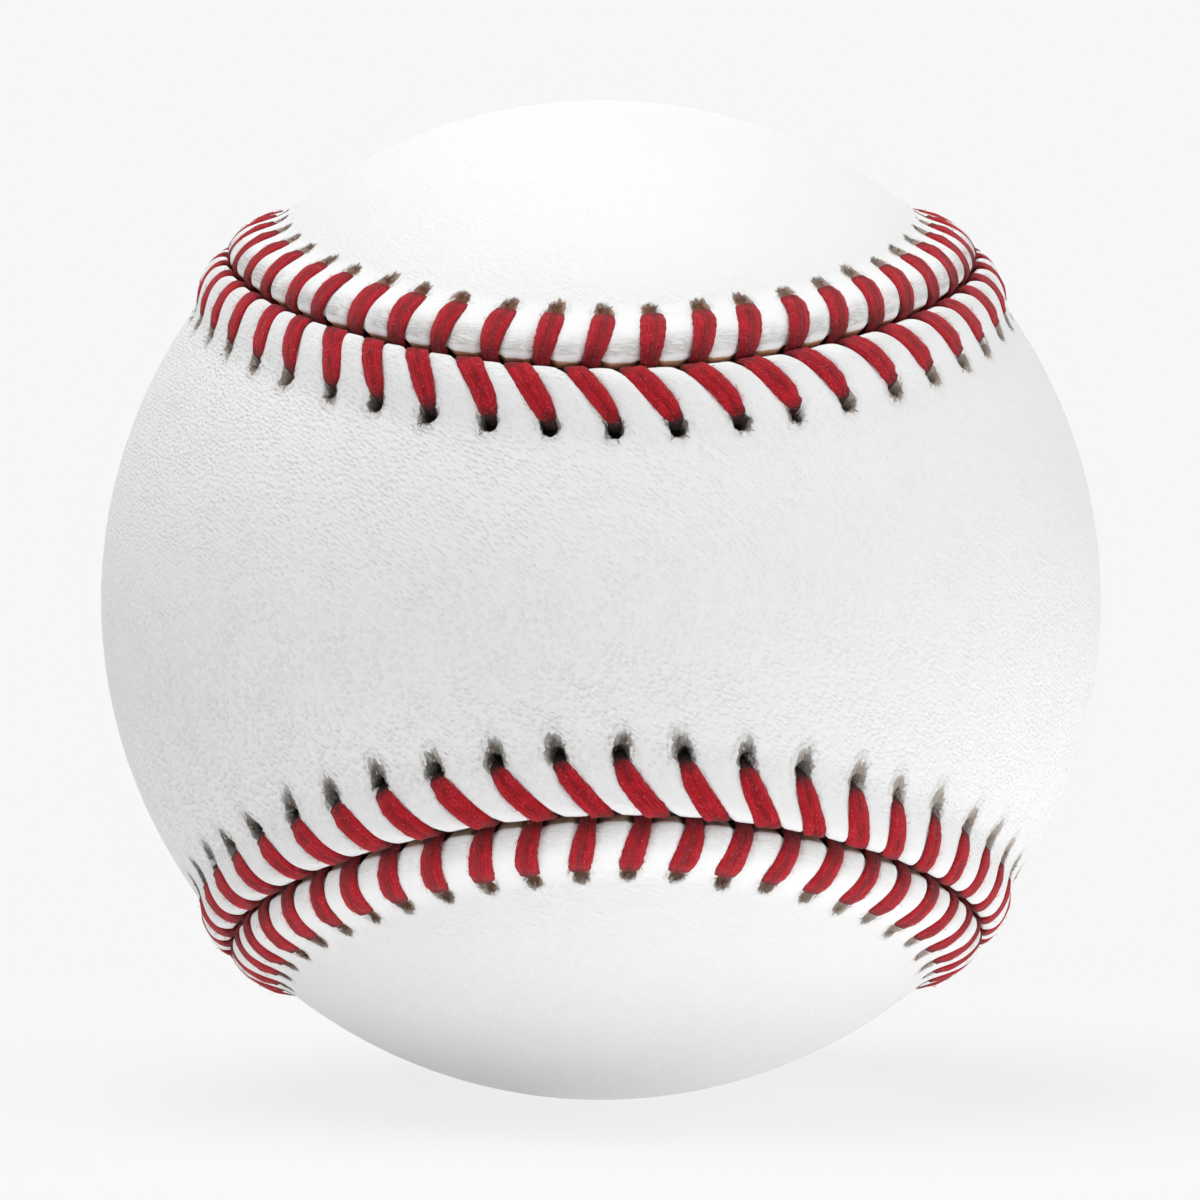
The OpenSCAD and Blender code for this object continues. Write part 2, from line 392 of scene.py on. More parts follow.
def grow(piece, tree, **inputs):
    """Runs a geometry tree on a piece with these inputs, and keeps the result as its plain mesh."""
    modifier = piece.modifiers.new(tree.name, "NODES")
    modifier.node_group = tree
    for item in tree.interface.items_tree:
        label = item.name.replace(" ", "_")
        if item.in_out == "INPUT" and label in inputs:
            modifier[item.identifier] = inputs[label]
    depsgraph = bpy.context.evaluated_depsgraph_get()
    grown = piece.evaluated_get(depsgraph)
    mesh = bpy.data.meshes.new_from_object(grown, preserve_all_data_layers=True, depsgraph=depsgraph)
    piece.modifiers.remove(modifier)
    piece.data = mesh
    return piece


def new_piece(name, points, edges, faces, **attributes):
    """A mesh piece with point attributes, numbers or vectors."""
    mesh = bpy.data.meshes.new(name)
    mesh.from_pydata(points, edges, faces)
    for label, values in attributes.items():
        vector = np.ndim(values) == 2
        layer = mesh.attributes.new(label, "FLOAT_VECTOR" if vector else "FLOAT", "POINT")
        layer.data.foreach_set("vector" if vector else "value", np.ravel(values).astype(np.float32))
    piece = bpy.data.objects.new(name, mesh)
    bpy.context.scene.collection.objects.link(piece)
    return piece


def read(tree, name, kind="FLOAT"):
    """A number or vector that a mesh carries at each point, read in a geometry tree."""
    return out(add(tree, "GeometryNodeInputNamedAttribute", {"Name": name}, data_type=kind))


def vector_math(operation, first, second):
    node = add(first.tree, "ShaderNodeVectorMath", {0: first, 1: second}, operation=operation)
    return out(node, "Value" if operation == "LENGTH" else "Vector")


def scaled(vector, size):
    node = add(vector.tree, "ShaderNodeVectorMath", {0: vector, "Scale": size}, operation="SCALE")
    return out(node)


# The rings of one panel's mesh, in millimetres from its edge: along the flesh
# side to the gap, up the cut edge, and back over the grain side. Each stitch
# has the same columns, and cells fill the middle from one edge to the other.
flesh_rings = [6.7, 4.6, 3.3, 2.0, 1.0, 0.3]
edge_depths = [1.0, 0.7, 0.4, 0.15]
grain_rings = [0, 0.05, 0.12, 0.22, 0.35, 0.52, 0.75, 1.05, 1.4, 1.75, 2.1, 2.45, 2.8, 3.1, 3.35, 3.56,
               3.74, 3.9, 4.06, 4.22, 4.38, 4.54, 4.7, 4.86, 5.02, 5.18, 5.36, 5.6, 6.0, 6.7]
column_shares = [0, 0.045, 0.09, 0.13, 0.18, 0.24, 0.32, 0.41,
                 0.5, 0.59, 0.68, 0.76, 0.82, 0.87, 0.91, 0.955]
grain_cells = [0, 0.012, 0.03, 0.055, 0.085, 0.12, 0.16, 0.2, 0.24, 0.28, 0.32, 0.36, 0.4, 0.44, 0.48,
               0.52, 0.56, 0.6, 0.64, 0.68, 0.72, 0.76, 0.8, 0.84, 0.88, 0.915, 0.945, 0.97, 0.988, 1]
flesh_cells = [0, 0.08, 0.25, 0.5, 0.75, 0.92, 1]
far_from_gap = 20 * MM


def panel_mesh(name, side):
    """One panel, still flat on the ball: a closed sheet as thick as the leather."""
    stitch = np.add.outer(np.arange(stitch_count), column_shares).ravel()
    columns = len(stitch)
    from_rim = np.array(flesh_rings + [0] * len(edge_depths) + grain_rings) * MM
    depth = np.array([1.0] * len(flesh_rings) + edge_depths + [0.0] * len(grain_rings))
    rings = len(from_rim)
    across = np.repeat(from_rim + rim_gap, columns).reshape(rings, columns)
    along = along_arm(side, stitch, across)
    points = beside_seam(side, along, across, -leather_thickness * depth[:, None])
    sideways = seam_frame(side, along)[2]
    nearest_arm = np.floor(stitch + 0.5)
    beside_arm = np.tile((stitch - nearest_arm) * 2, rings)
    lucks = chance.random((2, stitch_count))[:, nearest_arm.astype(int) % stitch_count]

    # Rings and columns make the strip that runs round the whole edge.
    at = np.arange(rings * columns).reshape(rings, columns)
    after = np.roll(at, -1, axis=1)
    faces = [np.stack([at[:-1], after[:-1], after[1:], at[1:]], axis=-1).reshape(-1, 4)]
    triangles = []
    parts = [points.reshape(-1, 3)]
    count = rings * columns
    half = columns // 2

    # Rows of cells from one side of the figure eight to the other fill each face's middle.
    for ring, cells, outwards in ((-1, grain_cells, True), (0, flesh_cells, False)):
        near = points[ring][1:half]
        opposite = points[ring][:half:-1]
        shares = np.array(cells)[1:-1]
        filling = near[:, None] + (opposite - near)[:, None] * shares[:, None]
        radius = ball_radius if outwards else ball_radius - leather_thickness
        parts.append((unit(filling) * radius).reshape(-1, 3))
        inner = count + np.arange(filling.shape[0] * len(shares)).reshape(-1, len(shares))
        count += inner.size
        rows = np.concatenate([at[ring][1:half, None], inner, at[ring][:half:-1, None]], axis=1)
        corners = [rows[:-1, :-1], rows[1:, :-1], rows[1:, 1:], rows[:-1, 1:]]
        quads = np.stack(corners, axis=-1).reshape(-1, 4)
        first_tip = [[at[ring][0], a, b] for a, b in zip(rows[0][:-1], rows[0][1:])]
        last_tip = [[at[ring][half], b, a] for a, b in zip(rows[-1][:-1], rows[-1][1:])]
        tips = np.array(first_tip + last_tip)
        faces.append(quads if outwards else quads[:, ::-1])
        triangles.append(tips if outwards else tips[:, ::-1])
    points = np.concatenate(parts)
    faces = np.concatenate(faces)
    triangles = np.concatenate(triangles)
    if side == back_side:
        faces = faces[:, ::-1]
        triangles = triangles[:, ::-1]
    rest = len(points) - rings * columns
    grain_filling = (half - 1) * (len(grain_cells) - 2)
    filling_depth = np.where(np.arange(rest) < grain_filling, 0.0, 1.0)

    def spread(values, beyond):
        return np.concatenate([np.ravel(values), np.broadcast_to(beyond, rest)])

    return new_piece(name, points, [], faces.tolist() + triangles.tolist(),
                     from_arm=spread(np.abs(beside_arm), 1.0),
                     beside_arm=spread(beside_arm, 1.0),
                     across=spread(across, far_from_gap),
                     depth=np.concatenate([np.repeat(depth, columns), filling_depth]),
                     along=spread(along, 0.0),
                     luck=spread(np.tile(lucks[0], rings), 0.5),
                     second_luck=spread(np.tile(lucks[1], rings), 0.5),
                     sideways=np.concatenate([sideways.reshape(-1, 3), np.zeros((rest, 3))]))


# Geometry tree of a panel: puffs the bead up between the arms, ties it down
# under them, scallops its rim, wrinkles it and sinks the needle holes.
scallop_size = 1.3 * MM
wrinkle_size = 0.9 * MM
wrinkled_width = 5.5 * MM
rag_size = 0.35 * MM
bead_tree, given = geometry_tree("puff_up_the_bead", Rim_squareness=0.0, Rim_setback=0.0,
                                 Wrinkle_depth=0.0, Hole_reach=0.0, Hole_width=0.0,
                                 Hole_length=0.0, Hole_depth=0.0, Ragged=0.0)
across = read(bead_tree, "across")
from_arm = read(bead_tree, "from_arm")
grain_side = 1.0 - ease(read(bead_tree, "depth") * 8.0)
position = out(add(bead_tree, "GeometryNodeInputPosition"))
upward = out(add(bead_tree, "ShaderNodeVectorMath", {0: position}, operation="NORMALIZE"))
puff = puffed(from_arm)
setback_share = limit(1.0 - (across - rim_gap) / scallop_size) ** 2.0
ragged_rim = (noise(position, 1 / scallop_size, 2.0) - 0.5) * 0.5
setback = given["Rim setback"] * (1.0 - puff + ragged_rim) * setback_share
uneven = 0.94 + read(bead_tree, "second_luck") * 0.12
height = height_of_bead(across, puff * uneven, given["Rim squareness"])
wrinkles = noise(position, 1 / wrinkle_size, 2.0) - 0.5
beside_gap = limit(1.0 - across / wrinkled_width)
wrinkled = wrinkles * given["Wrinkle depth"] * beside_gap * grain_side
rag = (noise(position, 1 / rag_size, 2.0) - 0.5) * given["Ragged"]
hole_x = from_arm * (pitch / 2) / given["Hole width"]
hole_y = (across - given["Hole reach"]) / given["Hole length"]
hole_round = (hole_x * hole_x + hole_y * hole_y) ** 0.5 + rag
pit = ease((1.25 - hole_round) / 0.5) * grain_side
height = height * (1.0 - pit) + wrinkled - pit * given["Hole depth"]
pulled_back = scaled(read(bead_tree, "sideways", "FLOAT_VECTOR"), setback)
offset = vector_math("ADD", scaled(upward, height), pulled_back)
moved = add(bead_tree, "GeometryNodeSetPosition", {"Geometry": given["Geometry"], "Offset": offset})
smooth = add(bead_tree, "GeometryNodeSetShadeSmooth", {"Geometry": out(moved)})


def attribute(tree, name):
    """A number that a piece's mesh carries at each point, read in its material."""
    return out(add(tree, "ShaderNodeAttribute", attribute_name=name), "Fac")


def regions(tree):
    """How far right and up a point lies, whether it is underneath, and whether its holes are pale. The
    last two set where painted light and shade change.
    """
    apart = add(tree, "ShaderNodeSeparateXYZ", {"Vector": place_on_piece(tree)})
    rightward = out(apart, "X") / ball_radius
    upward = out(apart, "Z") / ball_radius
    underside = ease(0.5 - upward / 0.6)
    pale_side = ease(((rightward + 0.08).math("ABSOLUTE") - 0.25) / 0.35)
    pale_side = pale_side * (1.0 - underside * ease(0.5 - rightward * 2.0))
    return rightward, upward, underside, pale_side


pore_size = 0.33 * MM
speckle_size = 0.3 * MM
crease_size = 0.45 * MM
swell_size = 1.2 * MM
tear_squareness = 2.6
pale_tear_colour = (0.42, 0.36, 0.31, 1)


def white_leather(name, hole_start, hole_shade_colour, core_size, torn_and_shaded_colour, fringe_colour,
                  underside_colour, torn_width, torn_reach, drawn_out, grain_depth, creased_and_shaded):
    """White hide with fine pores and wrinkles, a tan cut edge, and ragged tears past its needle holes.

    Sizes of the tears are in millimetres. On the ball's underside they are more
    drawn out and painted in another tone for the light there, and they are painted
    paler at its sides. Shade is painted into the holes, the tears, the wrinkles
    and along the bead.
    """
    leather, tree, shader = new_material(name, Roughness=0.55, Specular_IOR_Level=0.15)
    place = place_on_piece(tree)
    rightward, upward, underside, pale_side = regions(tree)
    across = attribute(tree, "across") / MM
    from_arm = attribute(tree, "from_arm")
    luck = attribute(tree, "luck")
    second_luck = attribute(tree, "second_luck")
    mottle = noise(place, 60.0, 4.0)
    colour = mix_colours(mottle, (0.82, 0.82, 0.82, 1), (0.88, 0.88, 0.88, 1))

    # Pores, drawn out a little one way, and shallower beside the seam and towards the right. Their faint
    # darkening is painted shade in the pits.
    inputs = {"Vector": place, "Rotation": (0, 0.6, 0), "Scale": (1.35, 1, 0.85)}
    stretched = out(add(tree, "ShaderNodeMapping", inputs, vector_type="TEXTURE"))
    inputs = {"Vector": stretched, "Scale": 1 / pore_size, "Randomness": 0.75, "Smoothness": 0.35}
    pores = add(tree, "ShaderNodeTexVoronoi", inputs, feature="SMOOTH_F1")
    pit = 1.0 - ease(out(pores, "Distance") / 0.75)
    pit = pit * (0.6 + ease(noise(place, 420.0, 2.0) * 2.4 - 0.7) * 0.4)
    pit = pit * (1.0 - ease(rightward * 0.9 + 0.35) * 0.45) * (0.8 + ease(0.5 - upward / 2.0) * 0.35)
    pit = pit * (ease((across - 1.5) / 2.5) * 0.6 + 0.4)
    colour = mix_colours(pit * 0.03, colour, (0.35, 0.34, 0.33, 1))
    speckle = noise(place, 1 / speckle_size, 3.0) - 0.5
    aside = from_arm * attribute(tree, "beside_arm").math("SIGN") * (pitch / 2 / MM)

    # Wrinkles along the bead with painted shade in their lines, a grey band of painted shade beside the
    # gap, and lint rubbed off the thread.
    along = attribute(tree, "along") / MM
    wrinkle_place = add(tree, "ShaderNodeCombineXYZ", {0: along * 0.8, 1: across * 4.0, 2: 0.0})
    wrinkle = 1.0 - ease((noise(out(wrinkle_place), 1.0, 2.0) - 0.5).math("ABSOLUTE") * 9.0)
    near_gap = ease((2.6 - across) / 1.8) * ease((across - 0.35) * 4.0)
    wrinkles_and_shade = near_gap * ease(noise(place, 400.0) * 3.0 - 0.7) * (1.0 - underside * 0.7) * creased_and_shaded
    wrinkle = wrinkle * wrinkles_and_shade
    colour = mix_colours(wrinkles_and_shade * 0.42, colour, (0.50, 0.49, 0.47, 1))
    colour = mix_colours(wrinkle * 0.24, colour, (0.36, 0.34, 0.32, 1))
    beside_thread = ease((1.2 - aside.math("ABSOLUTE") + speckle * 0.9) / 0.35)
    linty = beside_thread * ease((2.4 - across) / 1.2) * 0.2 * creased_and_shaded
    colour = mix_colours(linty, colour, (0.55, 0.15, 0.13, 1))

    # The tear past each hole: a grey halo of painted shade round its raised flap, torn hide with a
    # fringe, and the open core of the hole painted black as shade.
    past = across - hole_start
    reach = second_luck * 0.4 + underside * drawn_out + (torn_reach - 0.2)
    streak_place = add(tree, "ShaderNodeCombineXYZ", {0: aside * 2.6, 1: across * 0.8, 2: luck * 40.0})
    streaks = noise(out(streak_place), 1.3, 3.0, 0.6) - 0.5
    half_width = (1.15 - limit(past / reach) * 0.4) * torn_width
    tear_x = (aside - past * (luck - 0.5) * 0.5) / half_width
    tear_y = (past - reach * 0.4) / (reach * 0.6)
    from_tear = tear_x.math("ABSOLUTE") ** tear_squareness + tear_y.math("ABSOLUTE") ** tear_squareness
    from_tear = from_tear ** (1 / tear_squareness)
    torn_edge = 0.98 + streaks * 1.5 + speckle * 0.5
    # A grey halo of painted shade round the tear's raised flap.
    tear_halo_shade = ease((torn_edge - from_tear + 0.55) / 0.8) * 0.3
    colour = mix_colours(tear_halo_shade, colour, (0.50, 0.48, 0.45, 1))
    torn_away = ease((torn_edge - from_tear) / 0.25)
    fringe = ease(from_tear * 0.8 + limit(past / reach) * 0.35 - 0.4 + streaks * 1.8)
    # Torn hide: near black on the front, where it is painted shade in the slit, and brown on the back.
    # Its tone on the underside and at the sides is painted for the light there.
    torn_tone_with_shade = mix_colours(fringe, torn_and_shaded_colour, fringe_colour)
    torn_tone_with_shade = mix_colours(underside * 0.5, torn_tone_with_shade, underside_colour)
    torn_tone_with_shade = mix_colours(pale_side * 0.75, torn_tone_with_shade, pale_tear_colour)
    colour = mix_colours(torn_away * (1.0 - fringe * underside * 0.4), colour, torn_tone_with_shade)
    core_x = (aside + (second_luck - 0.5) * 0.35) / 0.42
    core_y = (past - 0.42) / 0.6
    from_core = (core_x * core_x + core_y * core_y) ** 0.5
    # The painted hole shade is smaller at the ball's sides and on its underside, and differs at random.
    hole_shade_shrink = underside * ease(rightward + 0.7) * 0.35 + pale_side * 0.75 + second_luck * 0.15
    hole_shade_edge = core_size - hole_shade_shrink + speckle * 0.6 + streaks * 0.5
    hole_shade = ease((hole_shade_edge - from_core) / 0.3)
    colour = mix_colours(hole_shade, colour, hole_shade_colour)

    # The cut edge, tan between the arms and dark with painted shade under them. On the underside both
    # tones are painted for the light there.
    cut = ease((attribute(tree, "depth") - 0.04 + speckle * 0.1) * 12.0)
    edge_shade = puffed(from_arm) * ease(noise(place, 300.0, 2.0) * 3.0 - 0.5) * 0.9 + 0.1
    edge_tan = mix_colours(underside, (0.74, 0.43, 0.27, 1), (0.62, 0.46, 0.36, 1))
    edge_dark = mix_colours(underside, (0.05, 0.028, 0.020, 1), (0.03, 0.02, 0.016, 1))
    colour = mix_colours(cut, colour, mix_colours(edge_shade, edge_dark, edge_tan))
    join(colour, shader.inputs["Base Color"])

    # Relief: pores, soft swells, creases and wrinkles by the seam, and the raised flaps of the tears.
    grain = bump(1.0 - pit, grain_depth)
    grain = bump(noise(place, 1 / swell_size, 3.0), 0.06 * MM, 0.4, grain)
    creases = noise(place, 1 / crease_size, 3.0).math("PINGPONG", 0.25) * limit(1.0 - across / 5.0)
    grain = bump(creases, 0.15 * MM, 0.5, grain)
    grain = bump(1.0 - wrinkle, 0.1 * MM, 0.8, grain)
    flap = ease((1.0 + streaks * 0.4 - from_tear + 0.6) / 0.6) * (1.0 - torn_away) * ease(past * 2.0)
    grain = bump(flap + streaks * torn_away * 2.0, 0.13 * MM, 0.8, grain)
    join(grain, shader.inputs["Normal"])
    return leather


bead_sizes = dict(Rim_setback=0.3 * MM, Wrinkle_depth=0.14 * MM, Hole_width=0.42 * MM,
                  Hole_length=0.56 * MM, Ragged=0.6)
front_leather = white_leather("front_white_leather", hole_start=3.72, core_size=1.0,
                              hole_shade_colour=(0.010, 0.009, 0.008, 1),
                              torn_and_shaded_colour=(0.05, 0.042, 0.036, 1),
                              fringe_colour=(0.44, 0.41, 0.38, 1),
                              underside_colour=(0.17, 0.15, 0.13, 1),
                              torn_width=0.68, torn_reach=1.4, drawn_out=0.9,
                              grain_depth=0.12 * MM, creased_and_shaded=0.3)
back_leather = white_leather("back_white_leather", hole_start=4.05, core_size=0.25,
                             hole_shade_colour=(0.08, 0.05, 0.038, 1),
                             torn_and_shaded_colour=(0.24, 0.11, 0.065, 1),
                             fringe_colour=(0.38, 0.28, 0.215, 1),
                             underside_colour=(0.045, 0.030, 0.023, 1),
                             torn_width=0.8, torn_reach=1.2, drawn_out=0.05,
                             grain_depth=0.045 * MM, creased_and_shaded=1.0)
close_tree(out(smooth), front_leather)
front_cover = grow(panel_mesh("front_leather_panel", front_side), bead_tree, **bead_sizes,
                   Rim_squareness=front_rim_squareness, Hole_reach=hole_reach, Hole_depth=1.0 * MM)
back_cover = grow(panel_mesh("back_leather_panel", back_side), bead_tree, **bead_sizes,
                  Rim_squareness=back_rim_squareness, Hole_reach=4.5 * MM, Hole_depth=0.28 * MM)
back_cover.data.materials[0] = back_leather
for cover, node in ((front_cover, "front_cover_panel"), (back_cover, "back_cover_panel")):
    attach(cover, "root")
    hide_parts(node)


# Thread: one long waxed red cotton thread with a needle at each end. Each
# needle comes up through a hole, crosses the bead to the gap, dives under
# the other panel and comes up through that panel's next hole.
thread_width = 1.42 * MM
thread_depth = 0.46 * MM
front_arm_reach = 3.62 * MM
back_arm_reach = 3.95 * MM
arm_end = 0.33 * MM
run_start = 0.15 * MM
run_depth = 0.97 * MM
run_shares = (0.0, 0.1, 0.3, 0.5, 0.7, 0.9, 0.97)
width_error = 0.05
bow_error = 0.06 * MM
sink_reach = 0.9 * MM

# Each panel's stitches are counted from the tip of its own lobe, so a front
# stitch's partner at the back has a number that is this much higher.
stitches_to_partner = 82

# Widths are shares of the thread's width. An arm's run from its hole to the gap.
# A stop in a hole is a distance past the arm, a height and a width, and a stop
# in the gap a distance from its middle, a height and a width.
arm_steps = np.linspace(0, 1, 25)
front_widths = np.interp(arm_steps, [0, 0.06, 0.2, 0.45, 0.9, 1], [0.84, 0.9, 1.02, 1.09, 1.14, 1.08])
back_widths = np.interp(arm_steps, [0, 0.08, 0.3, 0.6, 0.9, 1], [1.04, 1.12, 1.16, 1.10, 0.92, 0.86])
stops_in_hole = ((0.27 * MM, -0.95 * MM, 0.6), (0.21 * MM, -0.55 * MM, 0.7),
                 (0.12 * MM, -0.12 * MM, 0.8))
stops_in_gap = ((0.19 * MM, 0.35 * MM, 0.86), (0.05 * MM, -0.2 * MM, 0.75))


def thread_path(first_stitch):
    """The path of one needle's thread, and the width, depth and directions at each of its points."""
    points, widths, depths, sides, runs, bare, deep = [], [], [], [], [], [], []
    for stitch in range(first_stitch, first_stitch + stitch_count, 2):
        partner = stitch + stitches_to_partner
        turns = ((front_side, stitch, back_side, partner), (back_side, partner, front_side, stitch + 2))
        for side, number, other, next_number in turns:
            squareness = front_rim_squareness if side == front_side else back_rim_squareness
            here = hole_along(side, number)
            gap_along = along_arm(side, number, rim_gap)
            to_next = hole_along(other, next_number) - gap_along
            to_next = (to_next + seam_length / 2) % seam_length - seam_length / 2
            arm_reach = front_arm_reach if side == front_side else back_arm_reach
            stops = [(side, here, arm_reach + past, height, width, 0.9, -0.1)
                     for past, height, width in stops_in_hole]
            wide = 1 + width_error * chance.standard_normal()
            bow = bow_error * chance.standard_normal()
            for step, width in zip(arm_steps, front_widths if side == front_side else back_widths):
                across = arm_reach - (arm_reach - arm_end) * step ** 0.92
                sunk = 0.42 - 0.5 * ease((across - arm_reach + sink_reach) / MM)
                height = height_of_bead(across, 0.0, squareness) + thread_depth * sunk
                along = along_arm(side, number, across) + bow * math.sin(math.pi * step)
                stops.append((side, along, across, height, width * wide, 1.0, step))
            for across, height, width in stops_in_gap:
                stops.append((side, gap_along, across, height, width, 1.1, 1.0))
            next_reach = back_arm_reach if side == front_side else front_arm_reach
            for share in run_shares:
                along = gap_along + to_next * share
                across = run_start + (next_reach + run_start) * share
                stops.append((other, along, across, -run_depth, 0.6, 0.9, 1 + share))
            # Bare falls to 0 at an arm's ends, and deep marks the stops in a hole. The material paints
            # shade by both, over more of a back arm's run.
            bare_share = 10 if side == front_side else 2.9
            for where, along, across, height, width, depth, run in stops:
                points.append(beside_seam(where, np.array(along), np.array(across), np.array(height)))
                widths.append(width * thread_width / 2)
                depths.append(depth * thread_depth / 2)
                sides.append(seam_frame(where, np.array(along))[1])
                runs.append(run + 3 * float(number) + (0 if side == front_side else 1.5))
                bare.append(min(1.0, 8 * run, max(0.0, bare_share * (1 - run))))
                deep.append(1.0 if run < 0 else 0.0)
    points = np.array(points)
    heading = unit(np.roll(points, -1, axis=0) - np.roll(points, 1, axis=0))
    sides = np.array(sides)
    sides = unit(sides - heading * np.sum(sides * heading, axis=1, keepdims=True))
    lie = np.cross(heading, sides)
    if np.dot(lie[8], points[8]) < 0:
        lie = -lie
    return points, dict(width=widths, thick=depths, side=sides, lie=lie, run=runs, bare=bare, deep=deep)


# Geometry tree of the thread: sweeps a tiny ring along the path, then spreads
# it to the thread's flat section, creases its top and roughens its sides.
tiny_radius = 0.001 * MM
rag_size = 0.36 * MM
thread_tree, given = geometry_tree("lay_the_thread", Sides=16, Flatness=0.0, Crease=0.0, Ragged=0.0)
sides = given["Sides"]
path = add(thread_tree, "GeometryNodeMeshToCurve", {"Mesh": given["Geometry"]})
inputs = {"Resolution": sides, "Radius": tiny_radius}
section = add(thread_tree, "GeometryNodeCurvePrimitiveCircle", inputs)
turn = out(add(thread_tree, "GeometryNodeInputIndex")) / sides * (2 * math.pi) - math.pi / 2
inputs = {"Geometry": out(section), "Name": "around", "Value": turn}
marked = add(thread_tree, "GeometryNodeStoreNamedAttribute", inputs)
swept = add(thread_tree, "GeometryNodeCurveToMesh", {"Curve": out(path), "Profile Curve": out(marked)})
around = read(thread_tree, "around")
across_thread = around.math("COSINE")
up_thread = around.math("SINE")
flattened = across_thread.math("ABSOLUTE") ** given["Flatness"] * across_thread.math("SIGN")
crease = ease(1.0 - across_thread.math("ABSOLUTE") * 3.5) * ease(up_thread) * given["Crease"]
position = out(add(thread_tree, "GeometryNodeInputPosition"))
ragged = (noise(position, 1 / rag_size, 3.0) - 0.5) * given["Ragged"]
breadth = flattened * read(thread_tree, "width") + across_thread * ragged
breadth = scaled(read(thread_tree, "side", "FLOAT_VECTOR"), breadth)
lift = up_thread * read(thread_tree, "thick") * (1.0 - crease)
lift = scaled(read(thread_tree, "lie", "FLOAT_VECTOR"), lift)
inputs = {"Geometry": out(swept), "Offset": vector_math("ADD", breadth, lift)}
laid = add(thread_tree, "GeometryNodeSetPosition", inputs)
rounded = add(thread_tree, "GeometryNodeSetShadeSmooth", {"Geometry": out(laid)})

red_thread, tree, shader = new_material("waxed_red_cotton", Roughness=0.85, Sheen_Weight=0.13,
                                        Specular_IOR_Level=0.1)
place = place_on_piece(tree)
run = attribute(tree, "run")
around = attribute(tree, "around")
strand_place = add(tree, "ShaderNodeCombineXYZ", {0: run * 2.6, 1: around * 8.0 + run * 2.0, 2: 0.0})
fibres = noise(out(strand_place), 1.0, 4.0, 0.65)
tone = noise(place, 900.0, 3.0)
lint = noise(place, 4200.0, 2.0)
# A dark line down the creased middle of the thread is painted shade.
crease = (1.0 - ease(around.math("COSINE").math("ABSOLUTE") / 0.42)) * ease(tone * 3.2 - 1.0)
thread_colour = mix_colours(ease(fibres * 2.2 - 0.6), (0.23, 0.003, 0.009, 1), (0.73, 0.017, 0.031, 1))
thread_colour = mix_colours(ease(lint * 3.0 - 1.3) * 0.4, thread_colour, (0.26, 0.004, 0.010, 1))
thread_colour = mix_colours(tone * 0.3, thread_colour, (0.30, 0.004, 0.010, 1))
thread_colour = mix_colours(crease * 0.7, thread_colour, (0.13, 0.006, 0.007, 1))
# Painted shade, mottled, where the thread runs into the gap and the holes.
shade_near_ends = (1.0 - attribute(tree, "bare")) * ease(fibres * 1.5 + tone - 0.5)
thread_colour = mix_colours(shade_near_ends * 0.8, thread_colour, (0.085, 0.008, 0.007, 1))
# Painted black shade on the thread inside a hole, lighter at the ball's sides.
pale_side = regions(tree)[-1]
shade_in_hole = attribute(tree, "deep") * (1.0 - pale_side * 0.8) * 0.85
thread_colour = mix_colours(shade_in_hole, thread_colour, (0.012, 0.006, 0.005, 1))
flecks = ease(noise(place, 6500.0, 1.0) * 6.0 - 3.5)
thread_colour = mix_colours(flecks * 0.45, thread_colour, (0.72, 0.09, 0.16, 1))
join(thread_colour, shader.inputs["Base Color"])
join(bump(fibres + lint * 0.3, 0.12 * MM), shader.inputs["Normal"])
close_tree(out(rounded), red_thread)

for name, first_stitch in (("first_needle", 0), ("second_needle", 1)):
    points, attributes = thread_path(first_stitch)
    count = len(points)
    edges = [(point, (point + 1) % count) for point in range(count)]
    thread = new_piece(name + "_thread", points, edges, [], **attributes)
    grow(thread, thread_tree, Sides=16, Flatness=0.8, Crease=0.12, Ragged=0.24 * MM)
    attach(thread, "root")
    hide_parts(name + "_stitches")


# Fuzz: cotton fibres that the needle and the awl have pulled up along the
# edges of the thread. Each is a bent hair, 0.01 to 0.03 mm thick.
def plant(points, shape, turned, size):
    """One copy of a shape on every point."""
    inputs = {"Points": points, "Instance": shape, "Rotation": turned, "Scale": size}
    return out(add(points.tree, "GeometryNodeInstanceOnPoints", inputs))


def random_between(tree, low, high, seed):
    return out(add(tree, "FunctionNodeRandomValue", {2: low, 3: high, 8: seed}, data_type="FLOAT"), 1)


fuzz_tree, given = geometry_tree("raise_the_fuzz", Hairs_per_area=0.0, Shortest=0.0, Longest=0.0, Seed=1)
thread_edge = read(fuzz_tree, "around").math("COSINE").math("ABSOLUTE") * read(fuzz_tree, "bare")
inputs = {"Mesh": given["Geometry"], "Density": given["Hairs per area"], "Seed": given["Seed"],
          "Selection": thread_edge.math("GREATER_THAN", 0.45)}
roots = add(fuzz_tree, "GeometryNodeDistributePointsOnFaces", inputs)
bend = {"Resolution": 4, "Start": (0, 0, -0.1), "Middle": (0.25, 0.2, 0.55), "End": (1, 0, 0.3)}
hair_line = add(fuzz_tree, "GeometryNodeCurveQuadraticBezier", bend)
hair_round = add(fuzz_tree, "GeometryNodeCurvePrimitiveCircle", {"Resolution": 3, "Radius": 0.04})
inputs = {"Curve": out(hair_line), "Profile Curve": out(hair_round), "Fill Caps": True}
hair = add(fuzz_tree, "GeometryNodeCurveToMesh", inputs)
inputs = {"Axis": (0, 0, 1), "Angle": random_between(fuzz_tree, 0.0, 6.28, 3)}
spin = add(fuzz_tree, "FunctionNodeAxisAngleToRotation", inputs)
inputs = {"Rotation": out(roots, "Rotation"), "Rotate By": out(spin)}
turned = add(fuzz_tree, "FunctionNodeRotateRotation", inputs, rotation_space="LOCAL")
hair_size = random_between(fuzz_tree, given["Shortest"], given["Longest"], 4)
hairs = plant(out(roots), out(hair), out(turned), hair_size)
cotton_fuzz, tree, shader = new_material("raised_cotton_fuzz", Roughness=0.9)
